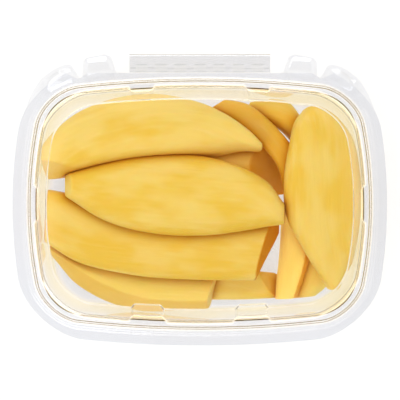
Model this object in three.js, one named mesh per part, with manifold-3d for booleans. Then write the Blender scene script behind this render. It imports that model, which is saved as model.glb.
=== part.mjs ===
// Sliced mango in its shut, clear hinged pack: tray, press-on lid, tear strip and eleven cut slices.
// Millimetres, +Z up, +X along the pack, +Y towards the hinge. The origin is under the pack's middle.

import * as THREE from 'three';
import { mergeVertices } from 'three/addons/utils/BufferGeometryUtils.js';
import Module from 'manifold-3d';

const wasm = await Module();
wasm.setup();

// ---- Driving dimensions --------------------------------------------------------------------

const SHEET = 0.6; // drawn clear sheet
const PLAY = 0.3; // air between pieces that lie on each other

const PACK_HEIGHT = 46;
const FLANGE_TOP = 27; // upper face of the lid's flange
const LEDGE_TOP = 33; // upper face of the flat ledge round the dome
const KNEE_TOP = 38; // the dome's side is steep up to here, then leans in
const DOME_ROUND = 1.3; // rounding between the dome's slope and its top panel

// Half length, half width and corner radius of the plan at each line of the pack.
const RIM = { x: 91.8, y: 69.3, r: 27 };
const SEAL = { x: 84.1, y: 61.3, r: 17 };
const FOOT = { x: 81, y: 58.3, r: 19 };
const KNEE = { x: 79.6, y: 56.7, r: 18 };
const PANEL = { x: 75.2, y: 51.8, r: 16 };
const FLOOR = { x: 75.2, y: 52.6, r: 15 };
const SIDE_BOW = { x: 0.1, y: 0.1 }; // how far the short and the long sides bow out

const SEAL_DRAFT = 0.8; // the seal wall widens by this towards the flange
const FLOOR_ROUND = 3; // rounding between tray wall and floor
const BEAD_WIDTH = 2.6; // bead of the tray's rim, which the lid presses over
const BEAD_ROUND = 0.8; // rounding of that bead

// Stiffening lugs pressed into the dome's side: half width inside and outside, place along the
// side, and how deep they are pressed at each line of the dome.
const FRONT_LUG = { inner: 6, outer: 8.6, offset: 25.3, depth: { foot: 2.4, knee: 1.5, panel: 1.8 } };
const SIDE_LUG = { inner: 6, outer: 8.6, depth: { foot: 1.5, knee: 0.6, panel: 0 } };
const HINGE_LUG = { inner: 3.9, outer: 5.9, offset: 28.3, depth: { foot: 2, knee: 0.9, panel: 0 } };

const HINGE_EDGE = 64.2; // the flange is cut straight here on the hinge side
const HINGE_HALF = 61.5; // half length of that cut
// Tear strip: length, outer fold, and the row of perforation windows beside the flange.
const STRIP = { length: 69, far: 73.4 };
const WINDOW = { count: 7, pitch: 9.45, length: 5.8, near: 0.6, far: 3.8 };

const STATIONS = 14; // sections along a slice
const SECTION = 6; // edge-to-edge divisions over the crown, and again under the belly
const RIDGE_SHARE = 0.55; // how much of a ridged crown is two flat faces; the rest is a dome
const RIDGE_CAP = 1.12; // the faces reach full height a little before the ridge, which rounds it
const KNIFE_REACH = 200; // side of the block that a knife cut takes away
const CORNER_STEPS = 8; // divisions of a rounded corner of the pack
const PLATE_STEPS = 4; // divisions of a curve in a tab's outline
const FOLD_STEPS = 3; // divisions of the tear strip's fold
const THROUGH = 1; // how far a cutting block runs past the sheet that it cuts

// ---- Materials -----------------------------------------------------------------------------

function clearSheet() {
  return new THREE.MeshStandardMaterial({
    color: 0xe9e8ee, roughness: 0.08, metalness: 0, transparent: true, opacity: 0.25,
  });
}

function mangoFlesh() {
  return new THREE.MeshStandardMaterial({ color: 0xf2b62c, roughness: 0.42, metalness: 0 });
}

// ---- Solids --------------------------------------------------------------------------------

/* A closed geometry as a manifold solid, for joining and cutting. */
function solid(geometry) {
  const bare = geometry.clone();
  bare.deleteAttribute('normal');
  bare.deleteAttribute('uv');
  const merged = mergeVertices(bare, 1e-4);
  return new wasm.Manifold(new wasm.Mesh({
    numProp: 3,
    vertProperties: new Float32Array(merged.attributes.position.array),
    triVerts: new Uint32Array(merged.index.array),
  }));
}

/* A manifold solid back as a three.js geometry. */
function geometryOf(manifold) {
  const mesh = manifold.getMesh();
  const geometry = new THREE.BufferGeometry();
  geometry.setAttribute('position', new THREE.BufferAttribute(mesh.vertProperties, 3));
  geometry.setIndex(new THREE.BufferAttribute(mesh.triVerts, 1));
  geometry.computeVertexNormals();
  return geometry;
}

/* A closed skin through rings of equal point count, from a lower pole to an upper pole. */
function skin(lowPole, rings, highPole) {
  const count = rings[0].length;
  const positions = [lowPole, ...rings.flat(), highPole].flatMap((p) => [p.x, p.y, p.z]);
  const last = rings.length * count + 1;
  const faces = [];
  for (let i = 0; i < count; i++) {
    const next = (i + 1) % count;
    faces.push(0, 1 + next, 1 + i);
    for (let level = 0; level + 1 < rings.length; level++) {
      const low = 1 + level * count;
      const high = low + count;
      faces.push(low + i, low + next, high + next, low + i, high + next, high + i);
    }
    const top = last - count;
    faces.push(top + i, top + next, last);
  }
  const geometry = new THREE.BufferGeometry();
  geometry.setAttribute('position', new THREE.Float32BufferAttribute(positions, 3));
  geometry.setIndex(faces);
  geometry.computeVertexNormals();
  return geometry;
}

// ---- The pack's plan -----------------------------------------------------------------------

/* How deep a lug is pressed in at a line of the dome; a ring that names no line has no lugs. */
function lugDepth(lug, line) {
  return line ? lug.depth[line] : 0;
}

/* One quarter of a ring, from the middle of the short side to just before the long side's middle.
   Each side has points at the ends of its lugs, which are pressed in as deep as at `line` of the
   dome, and one more between the short side's lug and the corner. */
function quarter(a, b, r, line, lug) {
  const depth = lugDepth(lug, line);
  const points = [
    [a - lugDepth(SIDE_LUG, line), SIDE_LUG.inner], [a, SIDE_LUG.outer],
    [a, (SIDE_LUG.outer + b - r) / 2],
  ];
  for (let i = 0; i <= CORNER_STEPS; i++) {
    const angle = (i / CORNER_STEPS) * Math.PI / 2;
    points.push([a - r + r * Math.cos(angle), b - r + r * Math.sin(angle)]);
  }
  points.push(
    [lug.offset + lug.outer, b], [lug.offset + lug.inner, b - depth],
    [lug.offset - lug.inner, b - depth], [lug.offset - lug.outer, b],
  );
  return points;
}

/* A whole ring at height z: a rounded rectangle with bowed sides, `inset` inside its named plan. A
   ring of the dome also names its line there: foot, knee or panel. */
function ring(plan, inset, z, line = null) {
  const a = (plan.x - inset) / (1 + SIDE_BOW.x);
  const b = (plan.y - inset) / (1 + SIDE_BOW.y);
  const back = quarter(a, b, plan.r - inset, line, HINGE_LUG);
  const front = quarter(a, b, plan.r - inset, line, FRONT_LUG);
  const mirrored = (sx, sy, list) => list.map(([x, y]) => [sx * x, sy * y]);
  const side = a - lugDepth(SIDE_LUG, line);
  const points = [
    [side, 0], ...back,
    [0, b], ...mirrored(-1, 1, back).reverse(),
    [-side, 0], ...mirrored(-1, -1, front),
    [0, -b], ...mirrored(1, -1, front).reverse(),
  ];
  return points.map(([x, y]) => new THREE.Vector3(
    x * (1 + SIDE_BOW.x * (1 - (y / b) ** 2)),
    y * (1 + SIDE_BOW.y * (1 - (x / a) ** 2)),
    z,
  ));
}

/* A flat plate with the plan of `shape` between two heights. */
function plate(shape, bottom, top) {
  const geometry = new THREE.ExtrudeGeometry(shape, {
    depth: top - bottom, bevelEnabled: false, curveSegments: PLATE_STEPS,
  });
  return geometry.translate(0, 0, bottom);
}

function box(x0, x1, y0, y1, z0, z1) {
  return new THREE.BoxGeometry(x1 - x0, y1 - y0, z1 - z0)
    .translate((x0 + x1) / 2, (y0 + y1) / 2, (z0 + z1) / 2);
}

/* The lid's lifting tab beside the tear strip, on the side given by `side` (-1 or 1). */
function liftTab(side) {
  const shape = new THREE.Shape();
  shape.moveTo(side * 57.4, 60.8);
  shape.lineTo(side * 57.2, 68.8);
  shape.quadraticCurveTo(side * 57, 71.6, side * 54.3, 72.1);
  shape.lineTo(side * 47.2, 73.3);
  shape.quadraticCurveTo(side * 44.4, 73.3, side * 43.3, 71.2);
  shape.lineTo(side * 40.8, 64.6);
  shape.lineTo(side * 39.7, 62.6);
  return shape;
}

/* The tray's tab at the back corner, which runs on from the flange's curve. */
function cornerTab(side) {
  const shape = new THREE.Shape();
  shape.moveTo(side * 86.2, 44.6);
  shape.quadraticCurveTo(side * 80.6, 63.3, side * 67.4, 67.9);
  shape.quadraticCurveTo(side * 63.6, 69.3, side * 62.3, 66.9);
  shape.lineTo(side * 59.4, 61.4);
  shape.lineTo(side * 66, 58.4);
  shape.lineTo(side * 79, 48);
  return shape;
}

/* Cuts the flange straight on the hinge side and joins a pair of tabs to it. */
function trimFlange(shell, bottom, top, tab) {
  const cut = box(-HINGE_HALF, HINGE_HALF, HINGE_EDGE, RIM.y + THROUGH,
    bottom - THROUGH, top + THROUGH);
  let trimmed = shell.subtract(solid(cut));
  for (const side of [-1, 1]) {
    trimmed = trimmed.add(solid(plate(tab(side), bottom, top)));
  }
  return trimmed;
}

// ---- Pack ----------------------------------------------------------------------------------

function lidGeometry() {
  const under = (z) => z - SHEET;
  const roundStart = PACK_HEIGHT - DOME_ROUND;
  const rings = [
    ring(PANEL, SHEET + DOME_ROUND, under(PACK_HEIGHT), 'panel'),
    ring(PANEL, SHEET, under(roundStart), 'panel'),
    ring(KNEE, SHEET, under(KNEE_TOP), 'knee'),
    ring(FOOT, SHEET, under(LEDGE_TOP), 'foot'),
    ring(SEAL, SHEET, under(LEDGE_TOP)),
    ring(SEAL, SHEET - SEAL_DRAFT, under(FLANGE_TOP)),
    ring(RIM, 0, under(FLANGE_TOP)),
    ring(RIM, 0, FLANGE_TOP),
    ring(SEAL, -SEAL_DRAFT, FLANGE_TOP),
    ring(SEAL, 0, LEDGE_TOP),
    ring(FOOT, 0, LEDGE_TOP, 'foot'),
    ring(KNEE, 0, KNEE_TOP, 'knee'),
    ring(PANEL, 0, roundStart, 'panel'),
    ring(PANEL, DOME_ROUND, PACK_HEIGHT, 'panel'),
  ];
  const shell = skin(
    new THREE.Vector3(0, 0, under(PACK_HEIGHT)), rings, new THREE.Vector3(0, 0, PACK_HEIGHT),
  );
  return geometryOf(trimFlange(solid(shell), under(FLANGE_TOP), FLANGE_TOP, liftTab));
}

function trayGeometry() {
  const flangeTop = FLANGE_TOP - SHEET - PLAY;
  const flangeBottom = flangeTop - SHEET;
  const beadTop = LEDGE_TOP - SHEET - PLAY;
  const beadOut = SHEET + PLAY; // the bead stands inside the lid's seal wall
  const wallIn = beadOut + BEAD_WIDTH + SHEET;
  const rings = [
    ring(FLOOR, FLOOR_ROUND, 0),
    ring(FLOOR, 0, FLOOR_ROUND),
    ring(SEAL, wallIn - SHEET, beadTop - SHEET),
    ring(SEAL, beadOut + SHEET, beadTop - SHEET),
    ring(SEAL, beadOut + SHEET, flangeBottom),
    ring(RIM, 0, flangeBottom),
    ring(RIM, 0, flangeTop),
    ring(SEAL, beadOut - SEAL_DRAFT / 2, flangeTop),
    ring(SEAL, beadOut, beadTop - BEAD_ROUND),
    ring(SEAL, beadOut + BEAD_ROUND, beadTop),
    ring(SEAL, wallIn - BEAD_ROUND / 2, beadTop),
    ring(SEAL, wallIn, beadTop - BEAD_ROUND),
    ring(FLOOR, SHEET, FLOOR_ROUND),
    ring(FLOOR, FLOOR_ROUND + SHEET / 2, SHEET),
  ];
  const shell = skin(new THREE.Vector3(0, 0, 0), rings, new THREE.Vector3(0, 0, SHEET));
  return geometryOf(trimFlange(solid(shell), flangeBottom, flangeTop, cornerTab));
}

/* The perforated strip that joins lid and tray at the back, folded double behind the flange, with
   its windows in the upper leaf. */
function tearStripGeometry() {
  const near = HINGE_EDGE + PLAY;
  const top = FLANGE_TOP;
  const bottom = FLANGE_TOP - 2 * SHEET - PLAY;
  const bend = (top - bottom) / 2;
  const section = new THREE.Shape();
  section.moveTo(near, top - SHEET);
  section.lineTo(near, top);
  section.lineTo(STRIP.far - bend, top);
  section.absarc(STRIP.far - bend, top - bend, bend, Math.PI / 2, -Math.PI / 2, true);
  section.lineTo(near, bottom);
  section.lineTo(near, bottom + SHEET);
  section.lineTo(STRIP.far - bend, bottom + SHEET);
  section.lineTo(STRIP.far - bend, top - SHEET);
  const ribbon = new THREE.ExtrudeGeometry(section, {
    depth: STRIP.length, bevelEnabled: false, curveSegments: FOLD_STEPS,
  });
  // The section is drawn in (y, z) and pulled along x.
  ribbon.applyMatrix4(new THREE.Matrix4().makeBasis(
    new THREE.Vector3(0, 1, 0), new THREE.Vector3(0, 0, 1), new THREE.Vector3(1, 0, 0),
  )).translate(-STRIP.length / 2, 0, 0);
  let strip = solid(ribbon);
  for (let i = 0; i < WINDOW.count; i++) {
    const start = (i - (WINDOW.count - 1) / 2) * WINDOW.pitch - WINDOW.length / 2;
    const window = box(start, start + WINDOW.length, near + WINDOW.near, near + WINDOW.far,
      top - bend, top + THROUGH);
    strip = strip.subtract(solid(window));
  }
  return geometryOf(strip);
}

// ---- Mango slices --------------------------------------------------------------------------

/* A smooth curve through hand-set points [x, y, z]. */
function edgeCurve(points) {
  return new THREE.CatmullRomCurve3(points.map((p) => new THREE.Vector3(...p)), false, 'centripetal');
}

/* Thickness factor at t: 1 along the body, falling to `blunt` at each end over `taper` of the length. */
function taperAt(t, blunt, taper) {
  const side = (distance, end) => {
    const reach = Math.min(distance / taper, 1);
    return end + (1 - end) * Math.sqrt(1 - (1 - reach) ** 2);
  };
  return Math.min(side(t, blunt[0]), side(1 - t, blunt[1]));
}

/* Half section from one edge (-1) to the other (1): a dome of the given squareness, or a ridge. */
function profile(across, squareness, ridge) {
  const dome = (1 - Math.abs(across) ** squareness) ** (1 / squareness);
  if (ridge === null) return dome;
  const slope = across < ridge ? (across + 1) / (ridge + 1) : (1 - across) / (1 - ridge);
  return RIDGE_SHARE * Math.min(1, slope * RIDGE_CAP) + (1 - RIDGE_SHARE) * dome;
}

/* One cut slice, spanned between its left and right edge curves. The flesh rises by `crown` over
   the edges and hangs by `belly` under them; `blunt` ends are cut faces, the others run out thin.
   `swell` makes the whole slice larger all round, to press its shape into a neighbour. */
function slice(form, swell = 0) {
  const { left, right, crown, belly } = form;
  const { blunt = [0.7, 0.7], taper = 0.3, square = [2.4, 3.2], ridge = null } = form;
  const leftCurve = edgeCurve(left);
  const rightCurve = edgeCurve(right);
  const rings = [];
  for (let i = 0; i < STATIONS; i++) {
    const t = 0.5 - 0.5 * Math.cos((i / (STATIONS - 1)) * Math.PI);
    const a = leftCurve.getPoint(t);
    const b = rightCurve.getPoint(t);
    const middle = a.clone().add(b).multiplyScalar(0.5);
    const along = leftCurve.getTangent(t).add(rightCurve.getTangent(t)).normalize();
    const across = b.clone().sub(a);
    const half = across.length() / 2 + swell;
    across.normalize();
    const up = across.clone().cross(along).normalize();
    if (i === 0) middle.addScaledVector(along, -swell);
    if (i === STATIONS - 1) middle.addScaledVector(along, swell);
    const factor = taperAt(t, blunt, taper);
    const ridgeAt = ridge && THREE.MathUtils.lerp(ridge[0], ridge[1], t);
    const section = [];
    for (let k = 0; k < 2 * SECTION; k++) {
      const angle = (k / SECTION) * Math.PI;
      const x = -Math.cos(angle);
      const top = k <= SECTION;
      const rise = top
        ? profile(x, square[0], ridgeAt) * (crown * factor + swell)
        : -profile(x, square[1], null) * (belly * factor + swell);
      section.push(middle.clone().addScaledVector(across, x * half).addScaledVector(up, rise));
    }
    rings.push(section);
  }
  const centre = (ring) => ring.reduce((sum, p) => sum.add(p), new THREE.Vector3())
    .divideScalar(ring.length);
  return skin(centre(rings[0]), rings, centre(rings[STATIONS - 1]));
}

// Edges run from the slice's first end to its second, [x, y, z] on the slice's widest line, with
// the left edge on the left hand when looking from the first end to the second. Each knife cut is
// three points of its plane. Lower slices come first: the soft flesh of each later slice takes the
// shape of those it lies on.
const SLICES = {
  slice_low_middle: {
    left: [[-60, 22, 9], [-26, 29, 9], [6, 30, 9], [45, 28, 9]],
    right: [[-60, 6, 9], [-26, 3, 9], [8, 2, 9], [45, 5, 9]],
    crown: 17, belly: 8, blunt: [0.6, 1], square: [2.6, 4],
    cuts: [[[25, 30, 25], [26, 5, 25], [41, 15, 9]]],
  },
  slice_low_front: {
    left: [[-34, -24, 6], [-10, -22, 6], [12, -27.5, 6], [28, -33, 6], [44, -33.4, 6]],
    right: [[-30, -44, 6], [-8, -47.2, 6], [14, -47.2, 6], [29, -46.8, 6], [44, -46, 6]],
    crown: 6, belly: 5, blunt: [0.6, 1], square: [3.2, 4],
    cuts: [[[28.5, -33.4, 11.5], [36.6, -46.5, 11.5], [38.2, -32.9, 1]]],
  },
  slice_low_back_right: {
    left: [[25, 50.4, 12], [35.4, 51.5, 14], [44.4, 49.5, 14], [52, 38, 11], [58, 15, 10]],
    right: [[24, 45, 12], [30, 41, 12], [37, 38, 12], [41.6, 34.6, 12], [46.6, 28.6, 11],
      [52, 13, 10]],
    crown: 10, belly: 8, blunt: [0.6, 0.6],
  },
  slice_low_right_front: {
    left: [[45.4, -46.4, 7], [46.6, -34, 7], [48, -18, 7], [50, 2, 7]],
    right: [[57, -45.4, 7], [63, -40, 7], [70, -22, 7], [69, 0, 7]],
    crown: 8, belly: 6, blunt: [0.6, 0.6],
  },
  slice_front_left: {
    left: [[-74, -19, 12], [-50, -28, 13], [-24, -33, 16], [8, -36, 17]],
    right: [[-73, -25, 10], [-60, -40, 9], [-34, -51.6, 10], [6, -52, 15]],
    crown: 7, belly: 7, blunt: [0.5, 0.9], ridge: [-0.5, 0.4],
    cuts: [[[6, -38.2, 22], [2.6, -51.9, 20], [8, -38.4, 12]]],
  },
  slice_right_narrow: {
    left: [[37.4, -46.8, 12], [39, -33, 12], [40.4, -16, 15], [41.2, 0, 17]],
    right: [[48.6, -45.6, 9], [53, -35, 9], [55.4, -24, 10], [53, 2, 14]],
    crown: 9, belly: 9, blunt: [0.7, 0.6], ridge: [0.2, 0.4],
  },
  slice_back_curved: {
    left: [[5, 46.4, 23], [20, 38, 23], [30.4, 28.4, 23], [38, 18.4, 24], [41, 6, 24]],
    right: [[13, 51.4, 22], [24.6, 48.4, 22], [37.4, 37.8, 23], [46, 27, 24], [52, 8, 24]],
    crown: 6, belly: 6, blunt: [0.6, 0.6], ridge: [-0.4, -0.6],
  },
  slice_front_wide: {
    left: [[-74.4, 7.4, 22], [-50, 3, 22], [-20, 0, 21.5], [10, -3, 22.5], [42, -8, 23]],
    right: [[-76, -18.6, 19], [-60, -28.4, 20], [-34, -34.8, 22], [0, -37.4, 24], [42, -37, 24]],
    crown: 8, belly: 10, blunt: [0.9, 1], square: [2.8, 2],
    cuts: [
      [[34.6, -11.1, 29], [27.5, -36.4, 29], [38.9, -14.8, 15.7]],
      [[38.9, -14.8, 15.7], [29.5, -33.2, 16.5], [27.6, -36, 29]],
    ],
  },
  slice_middle: {
    left: [[-66, 14, 28], [-50, 20, 28], [-24, 25, 29], [8, 22, 30], [32, 11.7, 32], [41.5, 0, 33]],
    right: [[-66, 4, 29], [-50, -6.6, 30], [-30, -13.4, 31], [4, -15.4, 32], [34, -11, 32.5],
      [41.5, -9.8, 33]],
    crown: 11, belly: 5, blunt: [0.8, 0.7], square: [2.5, 3],
    cuts: [[[-63, 17, 36], [-64, 0, 36], [-66.4, 10, 28]]],
  },
  slice_back_long: {
    left: [[-76, 29.4, 26.5], [-66, 39.4, 24], [-52, 47.6, 23], [-26, 52.8, 22], [2, 47.6, 24],
      [24, 35.2, 32], [30.4, 29.4, 33]],
    right: [[-76.8, 12.8, 30], [-60, 16.4, 34], [-46, 20.6, 36], [-20, 25, 38], [2, 27, 37],
      [18, 27.6, 34.5], [30.4, 26.4, 33.4]],
    crown: 8, belly: 20, blunt: [0.8, 0.4], square: [2.6, 2.2],
    cuts: [[[-78, 22.3, 35.5], [-61, 17.6, 37.5], [-68, 12.7, 26]]],
  },
  slice_right_wide: {
    left: [[63, -42, 27], [50, -21, 30], [42.4, -6, 32], [41.3, 12, 33], [43.6, 28, 33],
      [47.2, 41, 31.5], [51.4, 46.9, 30]],
    right: [[67.8, -41.6, 26], [75, -27, 27], [78.3, -6, 29.5], [78.3, 14, 29.5], [75, 31, 28.5],
      [67.6, 41.4, 28], [57, 47.5, 28]],
    crown: 9, belly: 14, blunt: [0.3, 0.4], taper: 0.22,
  },
};

/* Cuts a slice with the knife: takes off what lies beyond the plane through three points. */
function knifeCut(body, points, swell) {
  const [p, q, r] = points.map((point) => new THREE.Vector3(...point));
  const normal = q.sub(p).cross(r.sub(p)).normalize();
  const { min, max } = body.boundingBox();
  const centre = new THREE.Vector3(...min).add(new THREE.Vector3(...max)).multiplyScalar(0.5);
  if (normal.dot(centre.sub(p)) > 0) normal.negate();
  const waste = new THREE.BoxGeometry(KNIFE_REACH, KNIFE_REACH, KNIFE_REACH);
  const turn = new THREE.Quaternion().setFromUnitVectors(new THREE.Vector3(0, 0, 1), normal);
  const place = p.addScaledVector(normal, KNIFE_REACH / 2 + swell);
  waste.applyMatrix4(new THREE.Matrix4().compose(place, turn, new THREE.Vector3(1, 1, 1)));
  return body.subtract(solid(waste));
}

function cutSlice(form, swell = 0) {
  let body = solid(slice(form, swell));
  for (const points of form.cuts ?? []) body = knifeCut(body, points, swell);
  return body;
}

/* The largest of the bodies that a cut leaves. */
function mainBody(body) {
  return body.decompose().reduce((best, part) => (part.volume() > best.volume() ? part : best));
}

/* Every slice, each pressed on to the ones below it. */
function stackedSlices() {
  const below = [];
  const stack = [];
  for (const [name, form] of Object.entries(SLICES)) {
    let body = cutSlice(form);
    for (const lower of below) {
      if (body.intersect(lower).volume() > 0) body = body.subtract(lower);
    }
    stack.push([name, geometryOf(mainBody(body))]);
    below.push(cutSlice(form, PLAY));
  }
  return stack;
}

const group = new THREE.Group();

function addNode(name, geometry, material) {
  const mesh = new THREE.Mesh(geometry, material);
  mesh.name = name;
  group.add(mesh);
}

// The tray first, then what closes it, then the fruit from the bottom up.
addNode('tray', trayGeometry(), clearSheet());
addNode('lid', lidGeometry(), clearSheet());
addNode('tear_strip', tearStripGeometry(), clearSheet());
for (const [name, geometry] of stackedSlices()) addNode(name, geometry, mangoFlesh());

export default group;
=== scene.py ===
import itertools
import math

import bmesh
import bpy
import numpy as np
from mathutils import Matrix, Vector, noise
from mathutils.bvhtree import BVHTree
from mathutils.geometry import delaunay_2d_cdt


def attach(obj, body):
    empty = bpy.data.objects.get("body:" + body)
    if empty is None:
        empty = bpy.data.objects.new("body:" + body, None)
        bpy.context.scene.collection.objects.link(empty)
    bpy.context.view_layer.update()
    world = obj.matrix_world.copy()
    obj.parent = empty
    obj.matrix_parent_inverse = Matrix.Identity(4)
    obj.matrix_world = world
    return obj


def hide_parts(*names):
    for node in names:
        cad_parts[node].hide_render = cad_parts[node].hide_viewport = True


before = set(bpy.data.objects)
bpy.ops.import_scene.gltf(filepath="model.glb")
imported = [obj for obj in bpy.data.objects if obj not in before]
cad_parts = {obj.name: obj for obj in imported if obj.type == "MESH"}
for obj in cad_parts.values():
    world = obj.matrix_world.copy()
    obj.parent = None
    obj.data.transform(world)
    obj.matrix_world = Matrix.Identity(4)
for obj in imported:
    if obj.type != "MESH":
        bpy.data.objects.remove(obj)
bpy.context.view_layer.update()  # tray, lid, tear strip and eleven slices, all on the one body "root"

# ---- Table and studio ----
# A pale matt table top under the pack, a white room round it and two soft boxes. The camera
# looks straight down from far above, so that the pack shows almost without perspective.

MM = 0.001  # sizes below are in millimetres unless they say metres, and meshes in metres
TABLE_HALF = 4000
TABLE_TONES = ((0.29, 0.29, 0.29), (0.33, 0.33, 0.33))
TABLE_GLOW = 0.68  # keeps the table top white in the pack's own shade
CAMERA_HEIGHT = 2600
CAMERA_FIELD = 196  # width of the view at the height of the flange
SENSOR = 36
FLANGE_LEVEL = 27
VIEW_CENTRE = (0.1, 2.0)
CAMERA_REACH = 20.0  # metres
OPENING_CORE = 9  # degrees from straight up to where the ceiling's opening starts to brighten
OPENING_EDGE = 20
OPENING_LIGHT = 0.03
ROOM_LIGHT = 0.80
LAMP_SIZE = 0.8  # metres
LAMP_TARGET = (0.0, 0.0, 0.02)
# Each lamp's place in metres and its power in watts.
LAMPS = {
    "back key": ((-0.20, 0.72, 1.15), 5.8),
    "front fill": ((-0.42, -0.60, 1.10), 4.5),
}


def joined(tree, kind, values=None, links=None, **settings):
    """A new node with its settings, its plain input values and its linked inputs."""
    node = tree.nodes.new(kind)
    for name, value in settings.items():
        setattr(node, name, value)
    for name, value in (values or {}).items():
        node.inputs[name].default_value = value
    for name, source in (links or {}).items():
        tree.links.new(source, node.inputs[name])
    return node


def mixed(tree, first, second, factor):
    """A mix of two colours, each of them plain (r, g, b) or a node's output."""
    node = joined(tree, "ShaderNodeMix", data_type="RGBA")
    for name, colour in (("A", first), ("B", second)):
        if isinstance(colour, tuple):
            node.inputs[name].default_value = (*colour, 1.0)
        else:
            tree.links.new(colour, node.inputs[name])
    tree.links.new(factor, node.inputs["Factor"])
    return node.outputs["Result"]


def new_material(name, values):
    """A material whose own shader has some plain values: the material, its nodes and the shader."""
    material = bpy.data.materials.new(name)
    material.use_nodes = True
    surface = material.node_tree.nodes["Principled BSDF"]
    for socket, value in values.items():
        surface.inputs[socket].default_value = value
    return material, material.node_tree, surface


def table_material():
    material, tree, surface = new_material("table top", {
        "Roughness": 0.65,
        "Emission Color": (1.0, 1.0, 1.0, 1.0),
        "Emission Strength": TABLE_GLOW,
    })
    grain = joined(tree, "ShaderNodeTexNoise", {"Scale": 9.0, "Detail": 3.0})
    tree.links.new(mixed(tree, *TABLE_TONES, grain.outputs["Fac"]), surface.inputs["Base Color"])
    return material


def new_object(name, data):
    """A new object in the scene."""
    thing = bpy.data.objects.new(name, data)
    bpy.context.scene.collection.objects.link(thing)
    return thing


def mesh_object(name, points, faces):
    """A new object in the scene, from points in metres and the faces between them."""
    mesh = bpy.data.meshes.new(name)
    mesh.from_pydata(points, [], faces)
    return new_object(name, mesh)


def table_top():
    half = TABLE_HALF * MM
    corners = [(-half, -half, 0.0), (half, -half, 0.0), (half, half, 0.0), (-half, half, 0.0)]
    table = mesh_object("table_top", corners, [(0, 1, 2, 3)])
    table.data.materials.append(table_material())


def soft_box(name, place, power):
    """A square area light that faces the pack."""
    light = bpy.data.lights.new(name, "AREA")
    light.shape = "SQUARE"
    light.size = LAMP_SIZE
    light.energy = power
    lamp = new_object(name, light)
    lamp.location = place
    lamp.rotation_euler = (Vector(LAMP_TARGET) - Vector(place)).to_track_quat("-Z", "Y").to_euler()


def mapped(tree, source, values, **settings):
    """A node's output mapped from one range to another."""
    return joined(tree, "ShaderNodeMapRange", values, {"Value": source}, **settings).outputs["Result"]


def white_room():
    """A white room whose ceiling is open over the camera, so that flat clear sheet mirrors no light."""
    world = bpy.data.worlds.new("white room")
    world.use_nodes = True
    tree = world.node_tree
    view = joined(tree, "ShaderNodeTexCoord")
    split = joined(tree, "ShaderNodeSeparateXYZ", links={"Vector": view.outputs["Generated"]})
    edge, core = (math.cos(math.radians(angle)) for angle in (OPENING_EDGE, OPENING_CORE))
    opening = mapped(
        tree, split.outputs["Z"],
        {"From Min": edge, "From Max": core, "To Min": ROOM_LIGHT, "To Max": OPENING_LIGHT},
        interpolation_type="SMOOTHSTEP",
    )
    light = tree.nodes["Background"]
    light.inputs["Color"].default_value = (1.0, 1.0, 1.0, 1.0)
    tree.links.new(opening, light.inputs["Strength"])
    bpy.context.scene.world = world


def studio():
    bpy.context.scene.view_settings.view_transform = "Standard"
    white_room()
    for name, (place, power) in LAMPS.items():
        soft_box(name, place, power)


def camera():
    data = bpy.data.cameras.new("camera")
    data.sensor_width = SENSOR
    data.lens = SENSOR * (CAMERA_HEIGHT - FLANGE_LEVEL) / CAMERA_FIELD
    data.clip_end = CAMERA_REACH
    eye = new_object("camera", data)
    eye.location = (VIEW_CENTRE[0] * MM, VIEW_CENTRE[1] * MM, CAMERA_HEIGHT * MM)
    bpy.context.scene.camera = eye


table_top()
studio()
camera()

# ---- Tray ----
# The lower half of the pack: one clear sheet drawn into an open tub. Its wall leans out to a
# hollow bead, which the lid presses over, and then turns out into a flat flange.

BODY = "root"
SHEET = 0.5
SHARPEST_BEND = 38.0  # sheet is shaded smooth over bends of up to so many degrees
# Half length, half width and corner radius of the plan at each line of the pack.
RIM = (91.8, 69.3, 27.0)
SEAL = (84.1, 61.3, 17.0)
FLOOR = (75.2, 52.6, 15.0)
BOW_X = 0.1  # how far the short sides bow out
BOW_Y = 0.1  # how far the long sides bow out

FLAT_TINT = (0.966, 0.972, 0.993)
WALL_TINT = (0.93, 0.905, 0.86)
# painted reflection: the fruit's yellow, painted into the sheet near the fruit
FRUIT_REFLECTION_TINT = (0.93, 0.82, 0.45)
TAB_TINT = (0.90, 0.907, 0.93)
# painted highlight: the emission colour of bends and of the steepest dome walls
PAINTED_BEND_GLEAM = (0.285, 0.232, 0.150)
# Sheet is from 0 (upright) to 1 (level): it is all wall up to WALL_LEAN, and where the dome is
# under STEEPEST it gets a painted highlight as a bend does.
WALL_LEAN = 0.4
STEEPEST = 0.16
STEEPEST_FADE = 0.1
DOME_START = 6.3  # the dome stands above this height over the flange

TRAY_FLANGE = 26.1
BEAD_TOP = 32.1
BEAD_OUT = 0.9  # the bead's outer wall stands this far inside the seal line
BEAD_IN = 4.1
SEAL_DRAFT = 0.8  # the seal wall widens by this towards the flange
FLOOR_ROUND = 3.0
HINGE_EDGE = 64.2  # the flange is cut straight here on the hinge side

# Lugs: half width where full, half width where they end, place along the side.
FRONT_LUG = (6.0, 8.6, 25.3)
HINGE_LUG = (3.9, 5.9, 28.3)
SIDE_LUG = (6.0, 8.6, 0.0)
CORNER_SHARE = 0.48  # a rounded corner takes up no more than this share of the runs beside it
# Steps from stop to stop: half a short side, a corner's arc, and half a long side.
SIDE_STEPS = (4, 6, 6)
ARC_STEPS = 22
BACK_STEPS = (7, 6, 5, 6, 7)
INNER_RINGS = (0.2, 0.4, 0.6, 0.8)  # copies of the innermost ring inside it, smaller by so much


def spans(stops, counts):
    """Numbers from the first stop to the last, with counts[k] steps between stops k and k + 1."""
    parts = [np.linspace(p, q, n, endpoint=False) for p, q, n in zip(stops, stops[1:], counts)]
    return np.concatenate(parts + [stops[-1:]])


def pressed(distance, lug, spread):
    """How far a lug is pressed in at a distance from its middle: 1 inside, 0 outside."""
    inner, outer = lug[0] * spread, lug[1] * spread
    t = np.clip((outer - np.abs(distance)) / (outer - inner), 0.0, 1.0)
    return t * t * (3 - 2 * t)


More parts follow.
